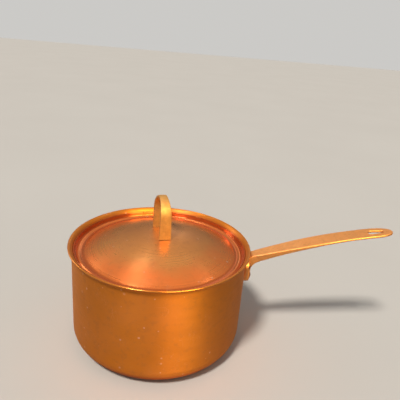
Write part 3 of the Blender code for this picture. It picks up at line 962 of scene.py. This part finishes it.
def make_lights():
    """A sun for light and shadows, and panels that show only in reflections."""
    sun = add_light("key", "SUN", around(*KEY_BEARING), Vector(), KEY_STRENGTH, KEY_COLOUR)
    sun.data.angle = math.radians(KEY_SPREAD)
    sun.visible_glossy = False
    middle = Vector((0.0, 0.0, PAN_HEIGHT / 2))
    for name, bearing, distance, size, watts, colour in SOFTBOXES:
        panel = add_light(name, "AREA", around(*bearing, distance), middle, watts, colour)
        panel.data.shape = "RECTANGLE"
        panel.data.size, panel.data.size_y = size
        panel.visible_diffuse = False
        panel.visible_camera = False


def make_floor():
    """A pale floor for the camera, seen dimmer in the metal's reflections."""
    shape = bmesh.new()
    bmesh.ops.create_grid(shape, x_segments=1, y_segments=1, size=FLOOR_HALF_SIZE)
    material, tree, shader, position = new_shader("pale_floor")
    tone = mix_colour(tree, noise(tree, position, 3.0, 4.0), FLOOR_LIGHT, FLOOR_DARK)
    reflected = node(tree, "LightPath").outputs["Is Glossy Ray"]
    feed(tree, shader, {"Base Color": mix_colour(tree, reflected, tone, FLOOR_REFLECTED)})
    shader.inputs["Roughness"].default_value = 0.85
    shader.inputs["Specular IOR Level"].default_value = 0.15
    finish_shape("floor", shape, material)


def make_world():
    """A pale backdrop in view, and a dimmer room for the light that falls on things."""
    world = bpy.data.worlds.new("studio")
    bpy.context.scene.world = world
    world.use_nodes = True
    tree = world.node_tree
    direction = node(tree, "TexCoord").outputs["Generated"]
    height = node(tree, "SeparateXYZ", {0: direction}).outputs[2]
    room = mix_colour(tree, remap(tree, height, 0.1, 0.95, 0.0, 1.0), ROOM_LOW, ROOM_HIGH)
    path = node(tree, "LightPath").outputs
    light = mix_colour(tree, path["Is Glossy Ray"], ROOM_FILL, room)
    seen = mix_colour(tree, path["Is Camera Ray"], light, BACKDROP)
    feed(tree, tree.nodes["Background"], {"Color": seen})


def make_camera():
    data = bpy.data.cameras.new("camera")
    data.sensor_width = 36.0
    data.lens = CAMERA_LENS
    camera = add_object("camera", data)
    camera.location = CAMERA_PLACE
    camera.rotation_euler = [math.radians(a) for a in CAMERA_TURN]
    bpy.context.scene.camera = camera


# Assembly


def make_finishes():
    """Every metal by name. The rivets are the pan's dull copper, without grooves."""
    pan = {"roughness": 0.55, "spread": 0.05, "anisotropy": 0.8}
    lid = {"roughness": 0.30, "spread": 0.03, "anisotropy": 0.4}
    rivet = {"roughness": 0.54, "spread": 0.05, "anisotropy": 0.0}
    handle = {"roughness": 0.44, "groove": (1, 0, 0), "anisotropy": 0.35}
    strap = {"roughness": 0.62}
    pan_tones = (COPPER_BRIGHT, COPPER_DULL, COPPER_WALL)
    lid_tones = (LID_BRIGHT, LID_DULL, LID_RIM)
    rivet_tones = (COPPER_DULL, COPPER_STAIN_AND_SHADE, COPPER_DULL)
    handle_look = (BRASS_BRIGHT, BRASS_DULL, ALONG_HANDLE)
    strap_look = (STRAP_BRIGHT, STRAP_DULL, ALONG_STRAP)
    return SimpleNamespace(
        pan_copper=copper_metal("pan_copper_finish", *pan_tones, **pan),
        lid_copper=copper_metal("lid_copper_finish", *lid_tones, **lid),
        rivet_copper=copper_metal("rivet_copper_finish", *rivet_tones, **rivet),
        handle_brass=brass_metal("handle_brass_finish", *handle_look, **handle),
        strap_brass=brass_metal("strap_brass_finish", *strap_look, **strap),
        tin=tin_metal("tin_finish"),
    )


def place_piece(piece, body, material_slot, *nodes):
    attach(piece, body)
    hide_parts(*nodes)


def main():
    bpy.context.scene.view_settings.view_transform = "Standard"
    make_camera()
    make_world()
    make_floor()
    make_lights()
    finish = make_finishes()

    body, lining = make_pan(finish.pan_copper, finish.tin)
    place_piece(body, "pan", "pan_copper", "pan_body")
    place_piece(lining, "pan", "tin_lining", "pan_lining")
    place_piece(make_handle(finish.handle_brass), "pan", "handle_brass", "pan_handle")
    for number, rivet in enumerate(make_rivets(finish.rivet_copper), 1):
        place_piece(rivet, "pan", "rivet_copper", f"handle_rivet_{number}")
    shell, lid_lining = make_lid(finish.lid_copper, finish.tin)
    place_piece(shell, "lid", "lid_copper", "lid_shell")
    place_piece(lid_lining, "lid", "tin_lining", "lid_lining")
    strap, washers = make_strap(finish.strap_brass)
    place_piece(strap, "lid", "strap_brass", "lid_handle")
    for number, washer in enumerate(washers, 1):
        place_piece(washer, "lid", "strap_brass", f"lid_washer_{number}")


main()
